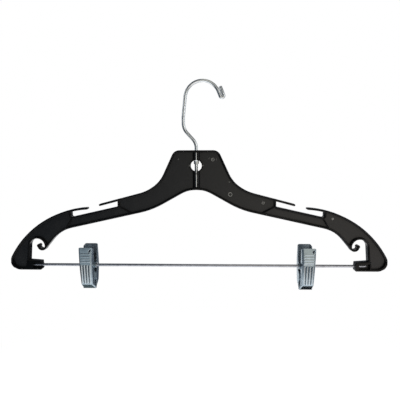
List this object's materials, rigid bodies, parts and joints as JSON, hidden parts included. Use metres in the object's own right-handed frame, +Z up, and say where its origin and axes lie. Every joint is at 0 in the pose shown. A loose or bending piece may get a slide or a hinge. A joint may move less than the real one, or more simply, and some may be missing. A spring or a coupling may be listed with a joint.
{
  "type": "skirt hanger",
  "caption": "Black moulded clothes hanger with a swivel wire hook, strap notches, a steel bar and two sliding spring clips.",
  "frame": {"origin": "the point under the hook's crown that rests on the rail", "axes": "+Z up, +X along the bar to the right as seen from the front, -Y towards the front"},
  "size_m": [0.4318, 0.0248, 0.2363],
  "materials": {
    "black_plastic": "semi-gloss moulded polystyrene",
    "chrome_wire": "bright chrome-plated wire",
    "plated_rod": "zinc-plated drawn rod",
    "plated_sheet": "nickel-plated pressed sheet",
    "plated_rivet": "nickel-plated hollow rivet",
    "spring_steel": "oiled spring wire"
  },
  "bodies": {
    "hook": {"swivel_hook": "chrome_wire"},
    "hanger": {"frame": "black_plastic", "clip_bar": "plated_rod"},
    "left_carrier": {"left_pivot_tube": "plated_rivet"},
    "left_rear": {"left_rear_jaw": "plated_sheet", "left_torsion_spring": "spring_steel"},
    "left_front": {"left_front_jaw": "plated_sheet"},
    "right_carrier": {"right_pivot_tube": "plated_rivet"},
    "right_rear": {"right_rear_jaw": "plated_sheet", "right_torsion_spring": "spring_steel"},
    "right_front": {"right_front_jaw": "plated_sheet"}
  },
  "joints": [
    {"name": "hook_swivel", "type": "hinge", "parent": "hook", "child": "hanger", "pos_m": [-0.0069, 0, -0.0868], "axis": [0, 0, 1], "continuous": true},
    {"name": "left_clip_slide", "type": "slide", "parent": "hanger", "child": "left_carrier", "axis": [-1, 0, 0], "range_m": [-0.114, 0.028]},
    {"name": "left_clip_swing", "type": "hinge", "parent": "left_carrier", "child": "left_rear", "pos_m": [-0.1324, 0, -0.2048], "axis": [1, 0, 0], "continuous": true},
    {"name": "left_clip_squeeze", "type": "hinge", "parent": "left_rear", "child": "left_front", "pos_m": [-0.1324, 0, -0.2048], "axis": [-1, 0, 0], "range_deg": [0, 32], "stiffness_Nm_per_rad": 0.1, "springref_deg": -45.84, "deforming": ["left_torsion_spring"]},
    {"name": "right_clip_slide", "type": "slide", "parent": "hanger", "child": "right_carrier", "axis": [1, 0, 0], "range_m": [-0.114, 0.028]},
    {"name": "right_clip_swing", "type": "hinge", "parent": "right_carrier", "child": "right_rear", "pos_m": [0.1186, 0, -0.2048], "axis": [1, 0, 0], "continuous": true},
    {"name": "right_clip_squeeze", "type": "hinge", "parent": "right_rear", "child": "right_front", "pos_m": [0.1186, 0, -0.2048], "axis": [-1, 0, 0], "range_deg": [0, 32], "stiffness_Nm_per_rad": 0.1, "springref_deg": -45.84, "deforming": ["right_torsion_spring"]}
  ]
}
